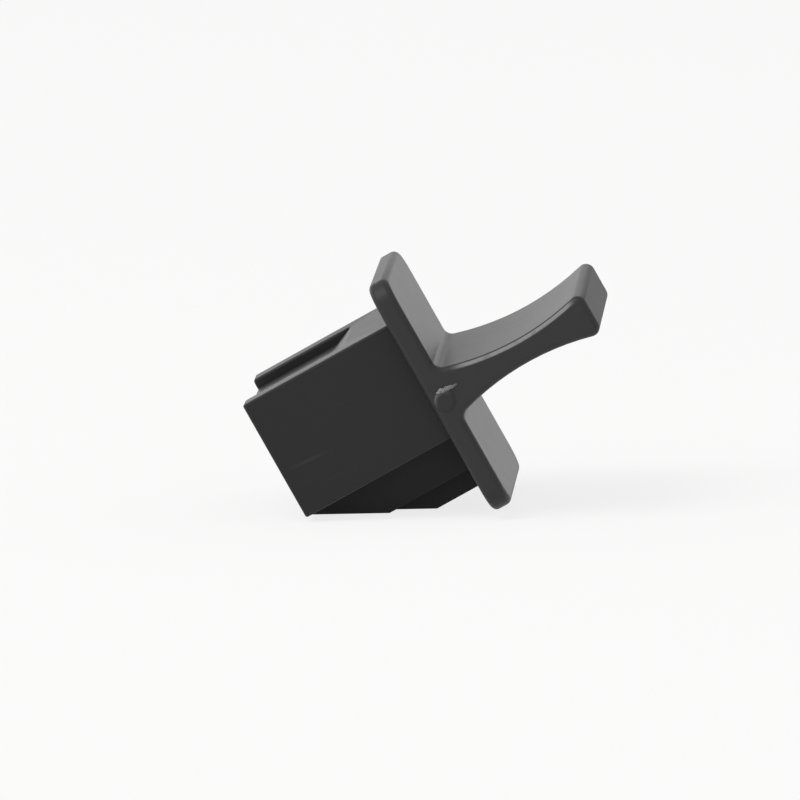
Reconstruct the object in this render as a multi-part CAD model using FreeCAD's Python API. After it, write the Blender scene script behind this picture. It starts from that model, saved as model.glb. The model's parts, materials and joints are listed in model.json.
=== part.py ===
import FreeCAD
import Part
import math
import os

# Push-in dust cover for an eight-position modular network jack, moulded in one piece from black plastic.
# The keyed insert fills the jack's opening, the flange stops against the jack's face, and the waisted grip
# pulls the cover out again.
# All sizes are in millimetres. The cover is drawn in its moulding frame: X runs from the insert's nose to
# the grip's tip with the flange's seat face at X = 0, Y runs across the width, and Z points to the jack's
# contacts with the mould's parting plane at Z = 0. Then it is laid down as it comes to rest.

# Insert
insert_length = 8.4
insert_width = 11.5
insert_height = 6.5
insert_edge_radius = 0.12
mould_draft_angle = 0.5

# Pocket that clears the jack's spring contacts, open at the nose and on the contact side
pocket_length = 5.8
pocket_depth = 3.2
pocket_side_wall = 1.2
pocket_corner_radius = 1.6
pocket_floor_radius = 0.4

# Keys on the latch side, which share one sloping lead-in plane
lead_in_angle = 28.0
lead_in_start = 0.25
shoulder_key_width = 6.0
shoulder_key_height = 2.1
latch_key_width = 3.5
latch_key_height = 3.2

# Flange
flange_thickness = 1.1
flange_side_overhang = 1.0
flange_contact_overhang = 2.15
flange_key_overhang = 1.13
flange_corner_radius = 1.3
flange_seat_radius = 0.3

# Grip, as wide as the flange and flush with its sides
grip_length = 8.2
grip_base_thickness = 2.65
grip_waist_thickness = 1.3
grip_tip_thickness = 2.5
grip_tip_radius = 0.45
grip_base_fillet = 0.5

# Rounding that runs round the flange's outer rim and along the grip's sides
outer_edge_radius = 0.36

# Trimmed moulding gate on the flange's edge
gate_diameter = 1.1
gate_stand = 0.15
gate_from_seat = 0.7
gate_below_parting = 0.3

# Places that follow from the sizes
flange_width = insert_width + 2 * flange_side_overhang
flange_height = flange_contact_overhang + insert_height + latch_key_height + flange_key_overhang
insert_top = flange_height / 2 - flange_contact_overhang
insert_bottom = insert_top - insert_height
nose = -insert_length
tip = flange_thickness + grip_length


def point(x, y, z):
    """Return a point of the moulding frame."""
    return FreeCAD.Vector(x, y, z)


def prism(corners, travel):
    """Return the solid that a closed polygon sweeps along a straight travel."""
    return Part.Face(Part.makePolygon(corners + corners[:1])).extrude(travel)


def rounded(shape, radius, chosen):
    """Return a shape with one radius on the edges whose middle and direction pass a test."""
    edges = []
    for edge in shape.Edges:
        middle = edge.valueAt((edge.FirstParameter + edge.LastParameter) / 2)
        along = edge.tangentAt((edge.FirstParameter + edge.LastParameter) / 2)
        if chosen(middle, along):
            edges.append(edge)
    return shape.makeFillet(radius, edges)


def near(value, target):
    """Say whether two lengths agree within a hundredth of a millimetre."""
    return abs(value - target) < 0.01


def drafted_half_width(z):
    """Return the insert's half width at a height, narrowing away from the parting plane."""
    return insert_width / 2 - abs(z) * math.tan(math.radians(mould_draft_angle))


def insert_body():
    """Return the insert's block, widest at the parting plane, run on into the flange."""
    heights = [insert_bottom, 0, insert_top]
    right = [point(nose, drafted_half_width(z), z) for z in heights]
    left = [point(nose, -drafted_half_width(z), z) for z in reversed(heights)]
    return prism(right + left, point(insert_length + flange_thickness / 2, 0, 0))


def key(width, height):
    """Return one key below the insert, cut off at the nose by the shared lead-in plane."""
    bottom = insert_bottom - height
    ramp = (height - lead_in_start) / math.tan(math.radians(lead_in_angle))
    root = flange_thickness / 2
    side = [
        point(nose, -width / 2, insert_bottom - lead_in_start),
        point(nose + ramp, -width / 2, bottom),
        point(root, -width / 2, bottom),
        point(root, -width / 2, insert_bottom + lead_in_start),
        point(nose, -width / 2, insert_bottom + lead_in_start),
    ]
    return prism(side, point(0, width, 0))


def pocket_outline(z, half_width, end):
    """Return the pocket's outline at a height, open past the nose and rounded at its closed end."""
    start = nose - pocket_floor_radius - pocket_side_wall
    corner = pocket_corner_radius
    bevel = corner * (1 - math.sqrt(0.5))
    edges = [
        Part.LineSegment(point(start, half_width, z), point(start, -half_width, z)),
        Part.LineSegment(point(start, -half_width, z), point(end - corner, -half_width, z)),
        Part.Arc(
            point(end - corner, -half_width, z),
            point(end - bevel, -half_width + bevel, z),
            point(end, -half_width + corner, z),
        ),
        Part.LineSegment(point(end, -half_width + corner, z), point(end, half_width - corner, z)),
        Part.Arc(
            point(end, half_width - corner, z),
            point(end - bevel, half_width - bevel, z),
            point(end - corner, half_width, z),
        ),
        Part.LineSegment(point(end - corner, half_width, z), point(start, half_width, z)),
    ]
    return Part.Wire([edge.toShape() for edge in edges])


def contact_pocket():
    """Return the core that leaves the contact pocket, tapered to draw out on the contact side."""
    floor = insert_top - pocket_depth
    mouth = insert_top + pocket_floor_radius
    half_width = insert_width / 2 - pocket_side_wall
    end = nose + pocket_length
    taper = (mouth - floor) * math.tan(math.radians(mould_draft_angle))
    outlines = [pocket_outline(floor, half_width - taper, end - taper), pocket_outline(mouth, half_width, end)]
    core = Part.makeLoft(outlines, True, True)
    return rounded(core, pocket_floor_radius, lambda middle, along: near(middle.z, floor))


def insert():
    """Return the hollow insert with its edges softened, and its crisp keys."""
    block = insert_body().cut(contact_pocket())

    def is_outer(middle, along):
        on_nose = near(middle.x, nose)
        on_rim = near(middle.z, insert_top)
        on_bottom = near(middle.z, insert_bottom)
        return middle.x < 0 and (on_nose or on_rim or on_bottom)

    keys = [key(shoulder_key_width, shoulder_key_height), key(latch_key_width, latch_key_height)]
    return rounded(block, insert_edge_radius, is_outer).fuse(keys)


def flange():
    """Return the flange plate with rounded corners and a softened rim on its seat side."""
    plate = Part.makeBox(
        flange_thickness, flange_width, flange_height, point(0, -flange_width / 2, -flange_height / 2)
    )
    plate = rounded(plate, flange_corner_radius, lambda middle, along: near(abs(along.x), 1))
    return rounded(plate, flange_seat_radius, lambda middle, along: near(middle.x, 0))


def grip():
    """Return the waisted grip: one profile with a hollow arc on each side, run across the width."""
    waist = flange_thickness + grip_length / 2

    def corner(x, z):
        return point(x, -flange_width / 2, z)

    base = grip_base_thickness / 2
    end = grip_tip_thickness / 2
    hollow = grip_waist_thickness / 2
    profile = [
        Part.Arc(corner(flange_thickness, base), corner(waist, hollow), corner(tip, end)),
        Part.LineSegment(corner(tip, end), corner(tip, -end)),
        Part.Arc(corner(tip, -end), corner(waist, -hollow), corner(flange_thickness, -base)),
        Part.LineSegment(corner(flange_thickness, -base), corner(flange_thickness, base)),
    ]
    blade = Part.Face(Part.Wire([edge.toShape() for edge in profile])).extrude(point(0, flange_width, 0))
    return rounded(blade, grip_tip_radius, lambda middle, along: near(middle.x, tip) and near(abs(along.y), 1))


def handle():
    """Return the flange and the grip in one, filleted where they meet and rounded along their outer edges."""
    joined = flange().fuse(grip()).removeSplitter()

    def is_root(middle, along):
        on_base = near(abs(middle.z), grip_base_thickness / 2)
        return near(middle.x, flange_thickness) and on_base and near(abs(along.y), 1)

    def is_outer(middle, along):
        on_side = near(abs(middle.y), flange_width / 2)
        on_corner = not near(abs(along.y), 1)
        on_end = near(abs(middle.z), flange_height / 2)
        on_rim = near(middle.x, flange_thickness) and (on_corner or on_end)
        return on_rim or (on_side and middle.x > flange_thickness)

    return rounded(rounded(joined, grip_base_fillet, is_root), outer_edge_radius, is_outer)


def gate():
    """Return the stub left where the moulding gate was trimmed off the flange's edge."""
    end = point(gate_from_seat, -flange_width / 2 - gate_stand, -gate_below_parting)
    return Part.makeCylinder(gate_diameter / 2, gate_stand + flange_seat_radius, end, point(0, 1, 0))


def lay_at_rest(shape):
    """Return the cover lying on the keys' lead-in plane, centred over the origin."""
    lying = shape.copy()
    lying.rotate(point(0, 0, 0), point(0, 1, 0), -lead_in_angle)
    box = lying.optimalBoundingBox()
    lying.translate(point(-box.Center.x, 0, -box.ZMin))
    return lying


def dust_cover():
    """Return the whole moulding."""
    return handle().fuse([insert(), gate()]).removeSplitter()


os.makedirs("parts", exist_ok=True)
lay_at_rest(dust_cover()).exportStep("parts/dust_cover.step")
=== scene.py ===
"""Studio picture of a push-in dust cover for an eight-position modular network jack.

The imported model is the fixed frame. The cover is one black moulding, so its solid is carried over as one
smooth piece. Added to it are the shallow recess for the jack's contacts, the flash along the insert's
parting line and the torn gate on the flange's edge.
"""

import json
import logging
import math
from dataclasses import dataclass
from enum import Enum

import bmesh
import bpy
from mathutils import Euler, Matrix, Vector, noise


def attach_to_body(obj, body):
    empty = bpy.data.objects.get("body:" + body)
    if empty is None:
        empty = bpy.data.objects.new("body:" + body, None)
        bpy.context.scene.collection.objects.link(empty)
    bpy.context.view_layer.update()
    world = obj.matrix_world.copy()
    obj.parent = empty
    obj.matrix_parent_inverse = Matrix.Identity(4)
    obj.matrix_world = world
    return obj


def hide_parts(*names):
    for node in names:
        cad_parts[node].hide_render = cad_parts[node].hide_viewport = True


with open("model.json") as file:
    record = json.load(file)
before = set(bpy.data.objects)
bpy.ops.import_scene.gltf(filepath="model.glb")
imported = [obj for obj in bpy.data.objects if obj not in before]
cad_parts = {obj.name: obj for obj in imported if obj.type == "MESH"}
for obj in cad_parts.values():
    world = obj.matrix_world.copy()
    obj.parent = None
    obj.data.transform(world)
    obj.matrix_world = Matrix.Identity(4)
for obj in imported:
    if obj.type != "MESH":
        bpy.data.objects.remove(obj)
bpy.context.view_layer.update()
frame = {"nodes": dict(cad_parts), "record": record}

MM = 0.001
BODY = "root"
CAD_NODE = "dust_cover"

log = logging.getLogger("dust_cover")


def linear(hex_colour: str) -> tuple[float, float, float, float]:
    """Turn an sRGB hex colour to linear light.

    Args:
        hex_colour: Colour as a hash sign and six hex digits.

    Returns:
        Red, green, blue and an alpha of one.
    """
    parts = [int(hex_colour[place:place + 2], 16) / 255 for place in (1, 3, 5)]
    light = [part / 12.92 if part <= 0.04045 else ((part + 0.055) / 1.055) ** 2.4 for part in parts]
    return (light[0], light[1], light[2], 1.0)


def add_node(
    tree: bpy.types.NodeTree, kind: str, inputs: dict | None = None, **settings: object
) -> bpy.types.Node:
    """Add one node to a tree, with its settings, values and links.

    Args:
        tree: Shader or geometry tree that takes the node.
        kind: Blender's name for the kind of node.
        inputs: A value, or an output socket to link, for each input by its name or number.
        **settings: The node's own properties, such as its operation.

    Returns:
        The new node.
    """
    node = tree.nodes.new(kind)
    for name, value in settings.items():
        setattr(node, name, value)
    for place, value in (inputs or {}).items():
        if isinstance(value, bpy.types.NodeSocket):
            tree.links.new(value, node.inputs[place])
        else:
            node.inputs[place].default_value = value
    return node


def new_material(name: str) -> bpy.types.Material:
    """Start a node material.

    Args:
        name: Name of the material.

    Returns:
        The material, with no nodes yet.
    """
    material = bpy.data.materials.new(name)
    material.use_nodes = True
    material.node_tree.nodes.clear()
    return material


def new_object(name: str, mesh: bpy.types.Mesh) -> bpy.types.Object:
    """Show a mesh in the scene, where the mesh lies.

    Args:
        name: Name of the object.
        mesh: Mesh that the object shows.

    Returns:
        The new object, at the origin.
    """
    shown = bpy.data.objects.new(name, mesh)
    bpy.context.scene.collection.objects.link(shown)
    return shown


def evaluated_mesh(shown: bpy.types.Object) -> bpy.types.Mesh:
    """Return a plain mesh of an object with all of its modifiers applied."""
    return bpy.data.meshes.new_from_object(shown.evaluated_get(bpy.context.evaluated_depsgraph_get()))


def grow(shown: bpy.types.Object, tree: bpy.types.NodeTree, values: dict[str, object]) -> None:
    """Run a geometry tree on an object and keep its result as the object's plain mesh.

    Args:
        shown: Object whose mesh feeds the tree.
        tree: Geometry tree with named inputs.
        values: A value for each named input.
    """
    modifier = shown.modifiers.new(tree.name, "NODES")
    modifier.node_group = tree
    for item in tree.interface.items_tree:
        if item.item_type == "SOCKET" and item.in_out == "INPUT" and item.name in values:
            modifier[item.identifier] = values[item.name]
    made = evaluated_mesh(shown)
    shown.modifiers.remove(modifier)
    shown.data = made


def geometry_tree(name: str, inputs: dict[str, str]) -> tuple[bpy.types.NodeTree, bpy.types.Node]:
    """Start a geometry tree with a geometry input, named inputs and a geometry output.

    Args:
        name: Name of the tree.
        inputs: Socket type for each named input.

    Returns:
        The tree and its input node.
    """
    tree = bpy.data.node_groups.new(name, "GeometryNodeTree")
    tree.interface.new_socket("Geometry", in_out="INPUT", socket_type="NodeSocketGeometry")
    for label, kind in inputs.items():
        tree.interface.new_socket(label, in_out="INPUT", socket_type=kind)
    tree.interface.new_socket("Geometry", in_out="OUTPUT", socket_type="NodeSocketGeometry")
    return tree, add_node(tree, "NodeGroupInput")


def end_tree(
    tree: bpy.types.NodeTree, geometry: bpy.types.NodeSocket, material: bpy.types.NodeSocket
) -> None:
    """End a geometry tree: make its instances real, give them their material and send them out.

    Args:
        tree: Geometry tree to end.
        geometry: Output that carries the shape.
        material: Output that carries the shape's material.
    """
    real = add_node(tree, "GeometryNodeRealizeInstances", {0: geometry})
    finish = {"Geometry": real.outputs[0], "Material": material}
    dressed = add_node(tree, "GeometryNodeSetMaterial", finish)
    add_node(tree, "NodeGroupOutput", {0: dressed.outputs[0]})


def attach(piece: bpy.types.Object) -> None:
    """Fix a finished piece to the cover's body and report it.

    Args:
        piece: The finished piece.
    """
    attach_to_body(piece, BODY)
    log.info("%s: %d vertices, %d faces", piece.name, len(piece.data.vertices), len(piece.data.polygons))


def join_rows(shell: bmesh.types.BMesh, rows: list[list[bmesh.types.BMVert]]) -> None:
    """Join rings of points with faces, each ring to the next.

    Args:
        shell: Mesh that takes the faces.
        rows: Rings with the same number of points.
    """
    for first, second in zip(rows, rows[1:]):
        for place in range(len(first)):
            after = (place + 1) % len(first)
            shell.faces.new((first[place], first[after], second[after], second[place]))


@dataclass(frozen=True)
class MouldFrame:
    """The moulding's own axes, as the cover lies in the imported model.

    X runs out of the jack along the insertion axis, Y across the width and Z towards the jack's contacts.
    The origin lies in the parting plane, on the flange's seat face.
    """

    origin: Vector
    lean: float

    @classmethod
    def from_record(cls, record: dict, parting_below_port: float = 1.09 * MM) -> "MouldFrame":
        """Find the moulding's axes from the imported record's mount in the jack.

        Args:
            record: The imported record.
            parting_below_port: Distance from the mount down to the mould's parting plane.

        Returns:
            The moulding's axes.
        """
        port = next(mount for mount in record["mounts"] if mount["name"] == "port_plug")
        outward = -Vector(port["axis"])
        towards_contacts = Vector((-outward.z, 0, outward.x))
        origin = Vector(port["pos_m"]) - towards_contacts * parting_below_port
        return cls(origin, math.atan2(outward.z, outward.x))

    @property
    def turn(self) -> Euler:
        """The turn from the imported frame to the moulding's axes."""
        return Euler((0, -self.lean, 0))

    @property
    def matrix(self) -> Matrix:
        """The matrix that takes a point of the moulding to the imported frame."""
        return Matrix.Translation(self.origin) @ self.turn.to_matrix().to_4x4()


@dataclass(frozen=True)
class BlackPolypropylene:
    """Satin black polypropylene, injection moulded in a spark-eroded steel cavity.

    Carbon black leaves next to no colour of its own. The eye sees the soft reflection of the room, dim on
    faces seen square on and a pale sheen on faces seen at a low angle, broken by fine grain and faint rub
    marks.
    """

    mould: MouldFrame
    name: str = "satin_black_moulded_polypropylene"
    colour: str = "#3a3a3b"
    # Painted shade: the insert's colour is darker, standing in for the shade the flange casts on it
    insert_painted_shade_colour: str = "#2f2f30"
    rubbed_colour: str = "#3f3f40"
    # Painted highlight: a pale strip along the grip's roundings stands in for the lamp's reflection
    painted_highlight_colour: str = "#8a8a88"
    ior: float = 1.49
    # The pits trap much of the gloss that a smooth face would show square on
    gloss_level: float = 0.17
    roughness: float = 0.42
    roughness_spread: float = 0.008
    # The insert is painted darker than the flange and grip, as painted shade for the flange's shade on it
    seat_blend: float = 0.02 * MM
    # The grip's end looks rougher, as if formed by a slide with a coarser texture
    end_roughness: float = 0.16
    end_start: float = 9.1 * MM
    end_reach: float = 0.2 * MM
    # Spark-eroded pits are 0.02 to 0.05 mm wide, drawn coarser so that they show
    grain_width: float = 0.09 * MM
    grain_detail: float = 2.0
    grain_height: float = 0.0003 * MM
    waviness_width: float = 2.6 * MM
    waviness_detail: float = 1.0
    waviness_height: float = 0.001 * MM
    cloud_width: float = 1.4 * MM
    cloud_detail: float = 4.0
    cloud_limits: tuple[float, float] = (0.3, 0.7)
    rub_length: float = 5.0 * MM
    rub_width: float = 0.11 * MM
    rub_detail: float = 1.0
    rub_limits: tuple[float, float] = (0.64, 0.80)
    rub_strength: float = 0.3
    worn_edge_width: float = 0.16 * MM
    worn_edge_samples: int = 8
    worn_edge_limits: tuple[float, float] = (0.95, 0.45)
    drag_start: tuple[float, float] = (-8.25 * MM, 0.43 * MM)
    drag_end: tuple[float, float] = (-5.5 * MM, 0.24 * MM)
    drag_half_width: float = 0.13 * MM
    drag_fade: float = 1.2 * MM
    near_side: float = -5.0 * MM
    # The grip's long roundings get a painted highlight for the lamp's reflection, only where they face half
    # sideways
    highlight_strip_start: float = 1.6 * MM
    highlight_strip_rise: float = 1.0 * MM
    highlight_strip_end: float = 8.9 * MM
    highlight_strip_fall: float = 0.6 * MM
    highlight_strip_side: float = 0.2 * MM
    highlight_strip_from_top: tuple[float, float] = (0.42, 0.6)
    highlight_strip_from_flank: tuple[float, float] = (0.97, 0.88)
    highlight_strip_break_width: float = 0.33 * MM
    highlight_strip_break_detail: float = 2.0
    highlight_strip_breaks: tuple[float, float] = (0.0, 0.5)

    def material(self) -> bpy.types.Material:
        """Return the node material of the moulded plastic."""
        material = new_material(self.name)
        tree = material.node_tree
        place = add_node(tree, "ShaderNodeTexCoord").outputs["Object"]
        patterns = []
        for width, detail in (
            (self.grain_width, self.grain_detail),
            (self.waviness_width, self.waviness_detail),
            (self.cloud_width, self.cloud_detail),
        ):
            blobs = {"Vector": place, "Scale": 1 / width, "Detail": detail}
            patterns.append(add_node(tree, "ShaderNodeTexNoise", blobs).outputs[0])
        grain, waviness, clouds = patterns
        wear = {0: clouds, 1: self.wear(tree, place)}
        rubbed = add_node(tree, "ShaderNodeMath", wear, operation="MULTIPLY").outputs[0]
        seat = {
            "Value": self.moulding_axes(tree, place)["X"],
            "From Min": -self.seat_blend,
            "From Max": self.seat_blend,
        }
        outside = add_node(tree, "ShaderNodeMapRange", seat).outputs[0]
        # Painted highlight: a pale strip on the grip's roundings, where they face half sideways, for the
        # lamp's reflection
        highlight_strip = self.painted_highlight_strips(tree, place)
        # Painted shade: the insert keeps the darker colour, the flange and grip the plain one
        colour: bpy.types.NodeSocket | tuple[float, float, float, float] = linear(self.insert_painted_shade_colour)
        layers = [(outside, self.colour), (rubbed, self.rubbed_colour), (highlight_strip, self.painted_highlight_colour)]
        for share, over in layers:
            blend = {"Factor": share, 6: colour, 7: linear(over)}
            colour = add_node(tree, "ShaderNodeMix", blend, data_type="RGBA").outputs[2]
        spread = {
            "Value": clouds,
            "From Min": self.cloud_limits[0],
            "From Max": self.cloud_limits[1],
            "To Min": self.roughness - self.roughness_spread,
            "To Max": self.roughness + self.roughness_spread,
        }
        satin = add_node(tree, "ShaderNodeMapRange", spread)
        coarse = {0: satin.outputs[0], 1: self.coarse_end(tree, place)}
        roughness = add_node(tree, "ShaderNodeMath", coarse, operation="ADD")
        wave = add_node(tree, "ShaderNodeBump", {"Height": waviness, "Distance": self.waviness_height})
        bump = {"Height": grain, "Distance": self.grain_height, "Normal": wave.outputs[0]}
        relief = add_node(tree, "ShaderNodeBump", bump)
        surface = {
            "Base Color": colour,
            "Roughness": roughness.outputs[0],
            "IOR": self.ior,
            "Specular IOR Level": self.gloss_level,
            "Normal": relief.outputs[0],
        }
        plastic = add_node(tree, "ShaderNodeBsdfPrincipled", surface)
        add_node(tree, "ShaderNodeOutputMaterial", {"Surface": plastic.outputs[0]})
        return material

    def wear(self, tree: bpy.types.NodeTree, place: bpy.types.NodeSocket) -> bpy.types.NodeSocket:
        """Return where handling has rubbed the plastic: fine streaks, outer edges and one long mark.

        Args:
            tree: The plastic's node tree.
            place: Object coordinates.

        Returns:
            A value that is one where the plastic is rubbed.
        """
        along = {
            "Vector": place,
            "Rotation": tuple(self.mould.turn),
            "Scale": (self.rub_length, self.rub_width, self.rub_width),
        }
        stretched = add_node(tree, "ShaderNodeMapping", along, vector_type="TEXTURE")
        strokes = {"Vector": stretched.outputs[0], "Scale": 1.0, "Detail": self.rub_detail}
        streak = add_node(tree, "ShaderNodeTexNoise", strokes)
        limits = {
            "Value": streak.outputs[0],
            "From Min": self.rub_limits[0],
            "From Max": self.rub_limits[1],
            "To Max": self.rub_strength,
        }
        rubbed = add_node(tree, "ShaderNodeMapRange", limits, interpolation_type="SMOOTHSTEP")
        inside = add_node(
            tree,
            "ShaderNodeAmbientOcclusion",
            {"Distance": self.worn_edge_width},
            inside=True,
            only_local=True,
            samples=self.worn_edge_samples,
        )
        edge = {
            "Value": inside.outputs["AO"],
            "From Min": self.worn_edge_limits[0],
            "From Max": self.worn_edge_limits[1],
        }
        worn = add_node(tree, "ShaderNodeMapRange", edge)
        most = rubbed.outputs[0]
        for mark in (worn.outputs[0], self.drag_mark(tree, place)):
            most = add_node(tree, "ShaderNodeMath", {0: most, 1: mark}, operation="MAXIMUM").outputs[0]
        return most

    def moulding_axes(
        self, tree: bpy.types.NodeTree, place: bpy.types.NodeSocket
    ) -> bpy.types.NodeOutputs:
        """Find a place in the moulding's own axes.

        Args:
            tree: The plastic's node tree.
            place: Object coordinates.

        Returns:
            The outputs X, Y and Z.
        """
        turned = {"Vector": place, "Location": tuple(self.mould.origin), "Rotation": tuple(self.mould.turn)}
        moulding = add_node(tree, "ShaderNodeMapping", turned, vector_type="TEXTURE").outputs[0]
        return add_node(tree, "ShaderNodeSeparateXYZ", {0: moulding}).outputs

    def coarse_end(self, tree: bpy.types.NodeTree, place: bpy.types.NodeSocket) -> bpy.types.NodeSocket:
        """Return the roughness that the coarser texture adds on the grip's end.

        Args:
            tree: The plastic's node tree.
            place: Object coordinates.

        Returns:
            A roughness that is nought elsewhere.
        """
        reach = {
            "Value": self.moulding_axes(tree, place)["X"],
            "From Min": self.end_start,
            "From Max": self.end_start + self.end_reach,
            "To Max": self.end_roughness,
        }
        return add_node(tree, "ShaderNodeMapRange", reach, interpolation_type="SMOOTHSTEP").outputs[0]

    def painted_highlight_strips(self, tree: bpy.types.NodeTree, place: bpy.types.NodeSocket) -> bpy.types.NodeSocket:
        """Return where a painted highlight for the lamp's reflection runs on the grip's long roundings, on
        the contact side.

        Args:
            tree: The plastic's node tree.
            place: Object coordinates.

        Returns:
            A value that is one along the middle of each rounding.
        """
        facing = add_node(tree, "ShaderNodeTexCoord").outputs["Normal"]
        sideways = add_node(tree, "ShaderNodeSeparateXYZ", {0: facing}).outputs["Y"]
        turned = add_node(tree, "ShaderNodeMath", {0: sideways}, operation="ABSOLUTE").outputs[0]
        axes = self.moulding_axes(tree, place)
        blobs = {
            "Vector": place,
            "Scale": 1 / self.highlight_strip_break_width,
            "Detail": self.highlight_strip_break_detail,
        }
        breaks = add_node(tree, "ShaderNodeTexNoise", blobs).outputs[0]
        limits = [
            (turned, *self.highlight_strip_from_top),
            (turned, *self.highlight_strip_from_flank),
            (axes["X"], self.highlight_strip_start, self.highlight_strip_start + self.highlight_strip_rise),
            (axes["X"], self.highlight_strip_end, self.highlight_strip_end - self.highlight_strip_fall),
            (axes["Z"], 0.0, self.highlight_strip_side),
            (breaks, *self.highlight_strip_breaks),
        ]
        share: bpy.types.NodeSocket | float = 1.0
        for value, nought, full in limits:
            step = {"Value": value, "From Min": nought, "From Max": full}
            ramp = add_node(tree, "ShaderNodeMapRange", step, interpolation_type="SMOOTHSTEP").outputs[0]
            share = add_node(tree, "ShaderNodeMath", {0: share, 1: ramp}, operation="MULTIPLY").outputs[0]
        return share

    def drag_mark(self, tree: bpy.types.NodeTree, place: bpy.types.NodeSocket) -> bpy.types.NodeSocket:
        """Return the one long rub that a jack's wall has drawn along the insert's near side.

        Args:
            tree: The plastic's node tree.
            place: Object coordinates.

        Returns:
            A value that is one along the middle of the mark.
        """
        axes = self.moulding_axes(tree, place)
        (start, start_height), (end, end_height) = self.drag_start, self.drag_end
        line = {
            "Value": axes["X"],
            "From Min": start,
            "From Max": end,
            "To Min": start_height,
            "To Max": end_height,
        }
        height = add_node(tree, "ShaderNodeMapRange", line)
        apart = {0: axes["Z"], 1: height.outputs[0]}
        beside = add_node(tree, "ShaderNodeMath", apart, operation="SUBTRACT")
        away = add_node(tree, "ShaderNodeMath", {0: beside.outputs[0]}, operation="ABSOLUTE")
        across = {"Value": away.outputs[0], "From Min": self.drag_half_width, "From Max": 0.0}
        band = add_node(tree, "ShaderNodeMapRange", across, interpolation_type="SMOOTHSTEP")
        begin = {"Value": axes["X"], "From Min": start, "From Max": start + self.drag_fade}
        begun = add_node(tree, "ShaderNodeMapRange", begin, interpolation_type="SMOOTHSTEP")
        stop = {"Value": axes["X"], "From Min": end, "From Max": end - self.drag_fade}
        ended = add_node(tree, "ShaderNodeMapRange", stop, interpolation_type="SMOOTHSTEP")
        near = add_node(tree, "ShaderNodeMath", {0: axes["Y"], 1: self.near_side}, operation="LESS_THAN")
        marked = band.outputs[0]
        for share in (begun, ended, near):
            part = {0: marked, 1: share.outputs[0]}
            marked = add_node(tree, "ShaderNodeMath", part, operation="MULTIPLY").outputs[0]
        return marked


@dataclass(frozen=True)
class StressWhitenedAndHighlightedPlastic:
    """Black polypropylene torn off at the gate.

    The pull opens tiny voids in the plastic, which scatter light, so the lifted lip of the tear is pale and
    matt while the rest stays dark and rough. The same pale colour is also painted highlight: on the rim's
    upper side, and in part on the lip, where light from above catches them.
    """

    name: str = "stress_whitened_and_highlighted_polypropylene"
    colour: str = "#39393a"
    # Pale colour of the stress-whitened tear, also used as painted highlight on the rim and, in part, on
    # the lip
    whitened_and_highlight_colour: str = "#b4b4b2"
    ior: float = 1.49
    gloss_level: float = 0.17
    roughness: float = 0.55
    fibre_width: float = 0.05 * MM
    fibre_detail: float = 3.0
    fibre_height: float = 0.006 * MM
    speck_limits: tuple[float, float] = (0.3, 0.6)
    whitening_and_highlight: str = "whitening_and_highlight"

    def material(self) -> bpy.types.Material:
        """Return the node material of the torn plastic, pale by the mesh's own attribute, as
        stress-whitened plastic and painted highlight.
        """
        material = new_material(self.name)
        tree = material.node_tree
        place = add_node(tree, "ShaderNodeTexCoord").outputs["Object"]
        fibres = {"Vector": place, "Scale": 1 / self.fibre_width, "Detail": self.fibre_detail}
        torn = add_node(tree, "ShaderNodeTexNoise", fibres).outputs[0]
        lip = add_node(tree, "ShaderNodeAttribute", attribute_name=self.whitening_and_highlight).outputs["Fac"]
        broken = {"Value": torn, "From Min": self.speck_limits[0], "From Max": self.speck_limits[1]}
        specks = add_node(tree, "ShaderNodeMapRange", broken).outputs[0]
        white = add_node(tree, "ShaderNodeMath", {0: lip, 1: specks}, operation="MULTIPLY").outputs[0]
        blend = {"Factor": white, 6: linear(self.colour), 7: linear(self.whitened_and_highlight_colour)}
        colour = add_node(tree, "ShaderNodeMix", blend, data_type="RGBA")
        relief = add_node(tree, "ShaderNodeBump", {"Height": torn, "Distance": self.fibre_height})
        surface = {
            "Base Color": colour.outputs[2],
            "Roughness": self.roughness,
            "IOR": self.ior,
            "Specular IOR Level": self.gloss_level,
            "Normal": relief.outputs[0],
        }
        plastic = add_node(tree, "ShaderNodeBsdfPrincipled", surface)
        add_node(tree, "ShaderNodeOutputMaterial", {"Surface": plastic.outputs[0]})
        return material


@dataclass
class MouldedCover:
    """The whole moulding, carried over from the CAD solid as one closed mesh with smooth roundings."""

    plastic: bpy.types.Material
    name: str = "moulded_cover"
    weld_distance: float = 0.0004 * MM
    crease: float = math.radians(24)
    flat_weight: int = 100
    gate_trim: float = 0.14 * MM

    def build(self) -> bpy.types.Object:
        """Build the moulding and put it in place of the CAD node.

        Returns:
            The finished piece.
        """
        cover = new_object(self.name, self.welded_mesh())
        cover.data.materials.clear()
        cover.data.materials.append(self.plastic)
        flatten = cover.modifiers.new("flat faces stay flat", "WEIGHTED_NORMAL")
        flatten.mode = "FACE_AREA"
        flatten.weight = self.flat_weight
        flatten.keep_sharp = True
        flat = evaluated_mesh(cover)
        cover.modifiers.remove(flatten)
        cover.data = flat
        cover.data.name = self.name
        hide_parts(CAD_NODE)
        attach(cover)
        return cover

    def welded_mesh(self) -> bpy.types.Mesh:
        """Copy the CAD mesh, join its triangles and mark its creases.

        The gate's stub is cut back, because the torn end is a piece of its own.

        Returns:
            The joined mesh.
        """
        mesh = bpy.data.meshes.new(self.name)
        shell = bmesh.new()
        shell.from_mesh(frame["nodes"][CAD_NODE].data)
        bmesh.ops.remove_doubles(shell, verts=shell.verts, dist=self.weld_distance)
        lowest = min(vertex.co.y for vertex in shell.verts)
        for vertex in shell.verts:
            if vertex.co.y < lowest + self.gate_trim / 2:
                vertex.co.y += self.gate_trim
        for face in shell.faces:
            face.smooth = True
        for edge in shell.edges:
            edge.smooth = edge.is_manifold and edge.calc_face_angle() < self.crease
        shell.to_mesh(mesh)
        shell.free()
        return mesh


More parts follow.
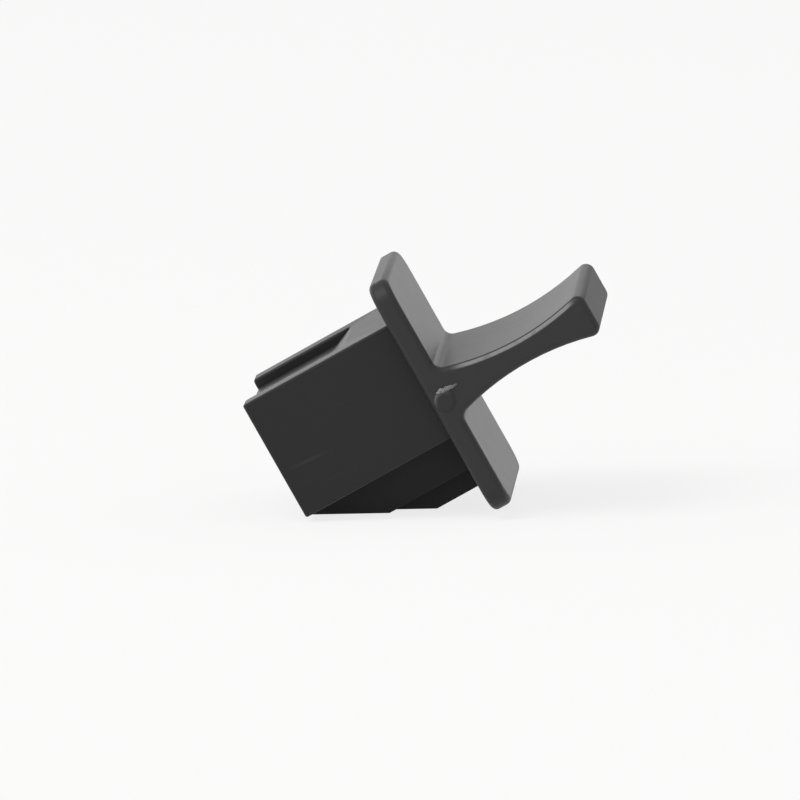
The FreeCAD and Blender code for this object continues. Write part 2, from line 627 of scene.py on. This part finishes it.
@dataclass
class PartingFlash:
    """The thin bead that plastic leaves where it creeps between the mould's two halves."""

    mould: MouldFrame
    plastic: bpy.types.Material
    name: str = "parting_flash"
    bead_radius: float = 0.016 * MM
    bead_sides: int = 6
    step: float = 0.06 * MM
    swell_width: float = 1.6 * MM
    swell_detail: float = 2.0
    swell_limits: tuple[float, float] = (0.42, 0.68)
    thinnest: float = 0.12
    seed: int = 11
    stop_before_seat: float = 0.14 * MM
    cut_tolerance: float = 0.001 * MM

    def build(self, cover: bpy.types.Object) -> bpy.types.Object:
        """Build the bead along the cover's outline in the parting plane.

        Args:
            cover: The moulded cover that carries the bead.

        Returns:
            The finished piece.
        """
        flash = new_object(self.name, self.parting_outline(cover))
        values = {
            "Bead radius": self.bead_radius,
            "Bead sides": self.bead_sides,
            "Step": self.step,
            "Swell width": self.swell_width,
            "Thinnest": self.thinnest,
            "Seed": self.seed,
            "Plastic": self.plastic,
        }
        grow(flash, self.bead_tree(), values)
        flash.data.shade_smooth()
        attach(flash)
        return flash

    def parting_outline(self, cover: bpy.types.Object) -> bpy.types.Mesh:
        """Find the edges in which the parting plane cuts the insert, up to the flange's seat face.

        Args:
            cover: The moulded cover.

        Returns:
            A mesh of those edges.
        """
        outline = bpy.data.meshes.new(self.name)
        cut = bmesh.new()
        cut.from_mesh(cover.data)
        normal = self.mould.matrix.to_3x3() @ Vector((0, 0, 1))
        bmesh.ops.bisect_plane(
            cut,
            geom=[*cut.verts, *cut.edges, *cut.faces],
            dist=self.cut_tolerance,
            plane_co=self.mould.origin,
            plane_no=normal,
            clear_inner=True,
            clear_outer=True,
        )
        to_mould = self.mould.matrix.inverted()
        past = [vertex for vertex in cut.verts if (to_mould @ vertex.co).x > -self.stop_before_seat]
        bmesh.ops.delete(cut, geom=past, context="VERTS")
        cut.to_mesh(outline)
        cut.free()
        return outline

    def bead_tree(self) -> bpy.types.NodeTree:
        """Return the geometry tree that runs an uneven round bead along a line of edges."""
        tree, given = geometry_tree(
            "parting flash",
            {
                "Bead radius": "NodeSocketFloat",
                "Bead sides": "NodeSocketInt",
                "Step": "NodeSocketFloat",
                "Swell width": "NodeSocketFloat",
                "Thinnest": "NodeSocketFloat",
                "Seed": "NodeSocketInt",
                "Plastic": "NodeSocketMaterial",
            },
        )
        size = given.outputs
        line = add_node(tree, "GeometryNodeMeshToCurve", {"Mesh": size["Geometry"]})
        even = {"Curve": line.outputs[0], "Length": size["Step"]}
        stepped = add_node(tree, "GeometryNodeResampleCurve", even, mode="LENGTH")
        place = add_node(tree, "GeometryNodeInputPosition")
        swells = add_node(tree, "ShaderNodeMath", {0: 1.0, 1: size["Swell width"]}, operation="DIVIDE")
        swell = {
            "Vector": place.outputs[0],
            "W": size["Seed"],
            "Scale": swells.outputs[0],
            "Detail": self.swell_detail,
        }
        uneven = add_node(tree, "ShaderNodeTexNoise", swell, noise_dimensions="4D")
        spread = {
            "Value": uneven.outputs[0],
            "From Min": self.swell_limits[0],
            "From Max": self.swell_limits[1],
            "To Min": size["Thinnest"],
        }
        radius = add_node(tree, "ShaderNodeMapRange", spread)
        ring = {"Resolution": size["Bead sides"], "Radius": size["Bead radius"]}
        profile = add_node(tree, "GeometryNodeCurvePrimitiveCircle", ring)
        swept = {
            "Curve": stepped.outputs[0],
            "Profile Curve": profile.outputs[0],
            "Scale": radius.outputs[0],
            "Fill Caps": True,
        }
        bead = add_node(tree, "GeometryNodeCurveToMesh", swept)
        end_tree(tree, bead.outputs[0], size["Plastic"])
        return tree


@dataclass
class GateScar:
    """The torn end of the gate on the flange's edge: a low round button with painted highlight atop its
    rim, and a pale torn lip on top.
    """

    mould: MouldFrame
    plastic: bpy.types.Material
    whitening_and_highlight: str
    name: str = "gate_scar"
    radius: float = 0.56 * MM
    from_seat: float = 0.7 * MM
    above_parting: float = -0.3 * MM
    flange_side: float = -6.75 * MM
    height: float = 0.09 * MM
    rim: float = 0.22 * MM
    rim_power: float = 1.5
    root: float = 0.06 * MM
    tear_depth: float = 0.02 * MM
    fibre_width: float = 0.14 * MM
    # Painted highlight: the button's rim is painted pale on its upper side, where light from above would
    # catch it
    rim_painted_highlight: float = 0.4
    lit_side: float = math.radians(110)
    lip_start: tuple[float, float] = (0.5 * MM, 0.25 * MM)
    lip_end: tuple[float, float] = (1.68 * MM, 0.15 * MM)
    lip_height: float = 0.14 * MM
    lip_half_width: float = 0.14 * MM
    lip_taper: float = 0.35
    lip_waver: float = 0.03 * MM
    # Places in the noise where the lip's outline starts, and how far it runs there
    ripple_place: tuple[float, float] = (0.7, 2.3)
    ripple_run: float = 9.0
    ripple_share: float = 0.35
    fray_place: tuple[float, float] = (4.1, 1.9)
    fray_run: float = 31.0
    fray_share: float = 0.2
    # The lip is pale partly as stress-whitened plastic and partly as painted highlight for the light its
    # top catches
    lip_whitening_and_highlight: float = 0.85
    lip_whitening_and_highlight_spread: float = 0.3
    lip_whitening_and_highlight_fade: float = 0.5
    weld_distance: float = 0.0005 * MM
    rings: int = 16
    spokes: int = 60
    lip_steps: int = 40
    lip_sides: int = 16

    def build(self) -> bpy.types.Object:
        """Build the torn end on the flange's stub.

        Returns:
            The finished piece.
        """
        mesh = bpy.data.meshes.new(self.name)
        scar = new_object(self.name, mesh)
        torn = bmesh.new()
        white = torn.verts.layers.float.new(self.whitening_and_highlight)
        self.add_button(torn, white)
        self.add_lip(torn, white)
        bmesh.ops.remove_doubles(torn, verts=torn.verts, dist=self.weld_distance)
        bmesh.ops.recalc_face_normals(torn, faces=torn.faces)
        for face in torn.faces:
            face.smooth = True
        torn.to_mesh(mesh)
        torn.free()
        mesh.transform(self.mould.matrix)
        mesh.materials.append(self.plastic)
        attach(scar)
        return scar

    def add_button(self, torn: bmesh.types.BMesh, white: bmesh.types.BMLayerItem) -> None:
        """Add the button, rough on top and round at its rim.

        Args:
            torn: Mesh that takes the button.
            white: Layer that holds how pale each point is, here painted highlight on the rim's upper side.
        """
        middle = Vector((self.from_seat, self.flange_side, self.above_parting))
        rows = []
        for ring in range(self.rings + 2):
            out = min(1.0, ring / self.rings) * self.radius
            past = max(0.0, out - self.radius + self.rim) / self.rim
            row = []
            for spoke in range(self.spokes):
                turn = 2 * math.pi * spoke / self.spokes
                flat = Vector((math.cos(turn), 0, math.sin(turn))) * out
                lift = self.height * (1 - past * past) ** self.rim_power
                lift += self.tear_depth * noise.noise(flat / self.fibre_width) * (1 - past)
                if ring > self.rings:
                    lift = -self.root
                vertex = torn.verts.new(middle + flat - Vector((0, lift, 0)))
                # Painted highlight: the rim is painted paler on its upper side, the side that faces the
                # lamp
                vertex[white] = self.rim_painted_highlight * past * max(0.0, math.cos(turn - self.lit_side))
                row.append(vertex)
            rows.append(row)
        join_rows(torn, rows)
        torn.faces.new(rows[-1])

    def add_lip(self, torn: bmesh.types.BMesh, white: bmesh.types.BMLayerItem) -> None:
        """Add the lip, a ragged ridge that the tear has pulled out past the button.

        Args:
            torn: Mesh that takes the lip.
            white: Layer that holds how pale each point is, on the lip partly stress-whitened plastic and
                partly painted highlight.
        """
        rows = []
        for step in range(self.lip_steps + 1):
            share = step / self.lip_steps
            ripple = noise.noise(Vector((share * self.ripple_run, *self.ripple_place)))
            fray = noise.noise(Vector((share * self.fray_run, *self.fray_place)))
            swell = math.sqrt(max(0.0, math.sin(math.pi * share))) * (1 - self.lip_taper * share)
            x = self.lip_start[0] + share * (self.lip_end[0] - self.lip_start[0])
            z = self.lip_start[1] + share * (self.lip_end[1] - self.lip_start[1])
            z += self.lip_waver * ripple
            width = self.lip_half_width * (1 + self.ripple_share * ripple + self.fray_share * fray)
            paleness = self.lip_whitening_and_highlight + self.lip_whitening_and_highlight_spread * fray
            row = []
            for side in range(self.lip_sides):
                turn = 2 * math.pi * side / self.lip_sides
                out = math.cos(turn)
                reach = self.lip_height * (1 + self.fray_share * fray) if out > 0 else self.root
                lift = min(self.lip_height, reach * out * swell)
                aside = width * swell * math.sin(turn)
                vertex = torn.verts.new((x, self.flange_side - lift, z + aside))
                # Painted highlight in part: the lip is pale partly as stress-whitened plastic and partly
                # for the light its top catches
                vertex[white] = (1 - self.lip_whitening_and_highlight_fade * share) * paleness
                row.append(vertex)
            rows.append(row)
        join_rows(torn, rows)


@dataclass
class RecessFloor:
    """The floor of the recess for the jack's contacts, and the inner part of the walls beside it.

    The floor lies close under the rim and runs out at its closed end.
    """

    mould: MouldFrame
    plastic: bpy.types.Material
    name: str = "recess_floor"
    rim: float = 4.34 * MM
    depth: float = 0.48 * MM
    nose: float = -8.4 * MM
    end: float = -2.6 * MM
    bottom: float = 0.3 * MM
    half_width: float = 5.5 * MM
    wall_inside: float = 3.85 * MM
    run_out_angle: float = math.radians(22)
    run_out_radius: float = 1.0 * MM
    edge_radius: float = 0.13 * MM
    flush: float = 0.002 * MM
    weld_distance: float = 0.0005 * MM
    seat: float = 0.2 * MM
    arc_steps: int = 8
    crease: float = math.radians(24)

    def build(self) -> bpy.types.Object:
        """Build the floor and its walls as one bar across the recess, seated in the cover.

        Returns:
            The finished piece.
        """
        mesh = bpy.data.meshes.new(self.name)
        floor = new_object(self.name, mesh)
        bar = bmesh.new()
        half = self.half_rows()
        across = [(-out, rise) for out, rise in reversed(half)] + half
        outline = self.profile()
        rows = []
        for y, rise in across:
            rows.append([bar.verts.new((x, y, low + (high - low) * rise)) for x, low, high in outline])
        join_rows(bar, rows)
        bar.faces.new(rows[0])
        bar.faces.new(rows[-1])
        bmesh.ops.remove_doubles(bar, verts=bar.verts, dist=self.weld_distance)
        bmesh.ops.recalc_face_normals(bar, faces=bar.faces)
        for face in bar.faces:
            face.smooth = True
        for edge in bar.edges:
            edge.smooth = edge.is_manifold and edge.calc_face_angle() < self.crease
        bar.to_mesh(mesh)
        bar.free()
        mesh.transform(self.mould.matrix)
        mesh.materials.append(self.plastic)
        attach(floor)
        return floor

    def half_rows(self) -> list[tuple[float, float]]:
        """Return the rows of points from the floor's side out to the seat in the cover's wall.

        Returns:
            For each row, how far it lies from the middle and its share of the rise from floor to rim.
        """
        rounded = self.edge_radius / self.depth
        rows = [(self.wall_inside, 0.0)]
        for step in range(self.arc_steps + 1):
            turn = math.pi / 2 * step / self.arc_steps
            out = self.wall_inside + self.edge_radius * (1 - math.cos(turn))
            rows.append((out, 1 - rounded + rounded * math.sin(turn)))
        rows.append((self.half_width, 1.0))
        return rows

    def profile(self) -> list[tuple[float, float, float]]:
        """Return the bar's outline seen from the side, from the nose round to the bottom.

        Returns:
            For each point, its place along the cover and its heights on the floor and on the walls.
        """
        edge = self.edge_radius
        run_out = self.run_out_radius
        level = self.rim - self.depth
        top = self.rim - self.flush
        front = self.nose - self.flush
        back = self.end + self.seat
        half = math.tan(self.run_out_angle / 2)
        foot = self.end - self.depth / math.tan(self.run_out_angle) - run_out * half
        brow = self.end + edge * half
        right = math.pi / 2
        lip = self.arc((front + edge, level - edge), edge, 2 * right, right)
        slope = [
            *self.arc((foot, level + run_out), run_out, -right, self.run_out_angle - right),
            *self.arc((brow, top - edge), edge, right + self.run_out_angle, right),
        ]
        return [
            *((x, z, z + top - level) for x, z in lip),
            *((x, z, top) for x, z in slope),
            (back, top, top),
            (back, self.bottom, self.bottom),
            (front, self.bottom, self.bottom),
        ]

    def arc(
        self, centre: tuple[float, float], radius: float, first: float, last: float
    ) -> list[tuple[float, float]]:
        """Step along an arc from one angle to another.

        Args:
            centre: The arc's centre.
            radius: The arc's radius.
            first: Angle at which the arc starts.
            last: Angle at which the arc ends.

        Returns:
            The points along the arc, with both ends.
        """
        x, z = centre
        turns = [first + (last - first) * step / self.arc_steps for step in range(self.arc_steps + 1)]
        return [(x + radius * math.cos(turn), z + radius * math.sin(turn)) for turn in turns]


class LampKind(Enum):
    """The soft lamps: where each stands in metres, how long its side is and its power in watts."""

    OVERHEAD = ((-0.4, -0.26, 0.62), 0.48, 2.9)


@dataclass(frozen=True)
class PhotoCamera:
    """Where the photograph was taken from, fitted to the cover's outline in a square picture."""

    azimuth: float = math.radians(2.835)
    elevation: float = math.radians(7.719)
    roll: float = math.radians(1.527)
    distance: float = 700 * MM
    pixels_per_metre: float = 19809.0
    picture_side: float = 800.0
    seen_point: tuple[float, float, float] = (0.0, 0.0, 6.0 * MM)
    seen_at: tuple[float, float] = (427.357, 386.154)
    sensor: float = 36.0
    nearest: float = 0.01
    farthest: float = 50.0

    def build(self) -> None:
        """Set up the scene's camera."""
        data = bpy.data.cameras.new("photo_camera")
        data.sensor_width = self.sensor
        data.lens = self.pixels_per_metre * self.distance * self.sensor / self.picture_side
        data.clip_start = self.nearest
        data.clip_end = self.farthest
        right = Vector((math.cos(self.azimuth), math.sin(self.azimuth), 0))
        back = Vector(
            (
                math.sin(self.azimuth) * math.cos(self.elevation),
                -math.cos(self.azimuth) * math.cos(self.elevation),
                math.sin(self.elevation),
            )
        )
        up = back.cross(right)
        across = right * math.cos(self.roll) - up * math.sin(self.roll)
        upright = right * math.sin(self.roll) + up * math.cos(self.roll)
        half = self.picture_side / 2
        aim = Vector(self.seen_point)
        aim -= across * (self.seen_at[0] - half) / self.pixels_per_metre
        aim -= upright * (half - self.seen_at[1]) / self.pixels_per_metre
        camera = bpy.data.objects.new("photo_camera", data)
        turned = Matrix((across, upright, back)).transposed().to_4x4()
        camera.matrix_world = Matrix.Translation(aim + back * self.distance) @ turned
        bpy.context.scene.collection.objects.link(camera)
        bpy.context.scene.camera = camera


@dataclass
class Studio:
    """A white paper floor under a soft lamp, in a pale room that is brightest behind the cover."""

    floor_half_side: float = 3.0
    paper_colour: str = "#f4f4f2"
    paper_lift: float = 0.8
    room_colour: str = "#ffffff"
    back_light: float = 2.0
    front_light: float = 0.55
    upper_light: float = 0.5
    # Parts of a unit direction between which the room's light changes, front to back and wall to ceiling
    back_limits: tuple[float, float] = (-0.5, 0.5)
    upper_limits: tuple[float, float] = (0.04, 0.34)

    def build(self) -> None:
        """Build the floor, the lamps, the room's light and the picture's view transform."""
        self.build_floor()
        for kind in LampKind:
            self.build_lamp(kind)
        self.build_room()
        bpy.context.scene.view_settings.view_transform = "Standard"

    def build_floor(self) -> None:
        """Build the matt paper floor.

        It is lifted most of the way to white for the eye, and keeps the cover's shadow.
        """
        side = self.floor_half_side
        mesh = bpy.data.meshes.new("paper_floor")
        corners = [(-side, -side, 0), (side, -side, 0), (side, side, 0), (-side, side, 0)]
        mesh.from_pydata(corners, [], [(0, 1, 2, 3)])
        material = new_material("white_paper_floor")
        tree = material.node_tree
        matt = add_node(tree, "ShaderNodeBsdfDiffuse", {"Color": linear(self.paper_colour)})
        share = {0: self.background_rays(tree), 1: self.paper_lift}
        lift = add_node(tree, "ShaderNodeMath", share, operation="MULTIPLY")
        white = add_node(tree, "ShaderNodeEmission", {"Strength": 1.0})
        blend = {0: lift.outputs[0], 1: matt.outputs[0], 2: white.outputs[0]}
        paper = add_node(tree, "ShaderNodeMixShader", blend)
        add_node(tree, "ShaderNodeOutputMaterial", {"Surface": paper.outputs[0]})
        mesh.materials.append(material)
        new_object("paper_floor", mesh)

    def background_rays(self, tree: bpy.types.NodeTree) -> bpy.types.NodeSocket:
        """Tell the rays that show the background: those from the camera, gloss and glass.

        Args:
            tree: The floor's node tree.

        Returns:
            A value that is one for those rays.
        """
        path = add_node(tree, "ShaderNodeLightPath").outputs
        shown = path["Is Camera Ray"]
        for kind in ("Is Glossy Ray", "Is Transmission Ray"):
            either = {0: shown, 1: path[kind]}
            shown = add_node(tree, "ShaderNodeMath", either, operation="MAXIMUM").outputs[0]
        return shown

    def build_lamp(self, kind: LampKind) -> None:
        """Hang one square soft lamp that faces the cover.

        Args:
            kind: The lamp.
        """
        place, side, power = kind.value
        data = bpy.data.lights.new(kind.name.lower() + "_lamp", "AREA")
        data.size = side
        data.energy = power
        lamp = bpy.data.objects.new(data.name, data)
        lamp.location = place
        lamp.rotation_euler = Vector(place).to_track_quat("Z", "Y").to_euler()
        bpy.context.scene.collection.objects.link(lamp)

    def build_room(self) -> None:
        """Light the room from its walls, brighter behind the cover than in front, and its ceiling."""
        world = bpy.data.worlds.new("pale_room")
        world.use_nodes = True
        tree = world.node_tree
        tree.nodes.clear()
        direction = add_node(tree, "ShaderNodeTexCoord").outputs["Generated"]
        axes = add_node(tree, "ShaderNodeSeparateXYZ", {0: direction}).outputs
        depth = {
            "Value": axes["Y"],
            "From Min": self.back_limits[0],
            "From Max": self.back_limits[1],
            "To Min": self.front_light,
            "To Max": self.back_light,
        }
        walls = add_node(tree, "ShaderNodeMapRange", depth, interpolation_type="SMOOTHSTEP")
        fall = {
            "Value": axes["Z"],
            "From Min": self.upper_limits[0],
            "From Max": self.upper_limits[1],
            "To Min": walls.outputs[0],
            "To Max": self.upper_light,
        }
        level = add_node(tree, "ShaderNodeMapRange", fall, interpolation_type="SMOOTHSTEP")
        glow = {"Color": linear(self.room_colour), "Strength": level.outputs[0]}
        light = add_node(tree, "ShaderNodeBackground", glow)
        add_node(tree, "ShaderNodeOutputWorld", {"Surface": light.outputs[0]})
        bpy.context.scene.world = world


def main() -> None:
    """Build the cover's pieces in order, then the studio and the camera."""
    logging.basicConfig(level=logging.INFO, format="%(name)s: %(message)s")
    mould = MouldFrame.from_record(frame["record"])
    plastic = BlackPolypropylene(mould).material()
    whitened = StressWhitenedAndHighlightedPlastic()
    cover = MouldedCover(plastic).build()
    RecessFloor(mould, plastic).build()
    PartingFlash(mould, plastic).build(cover)
    GateScar(mould, whitened.material(), whitened.whitening_and_highlight).build()
    Studio().build()
    PhotoCamera().build()


if __name__ == "__main__":
    main()
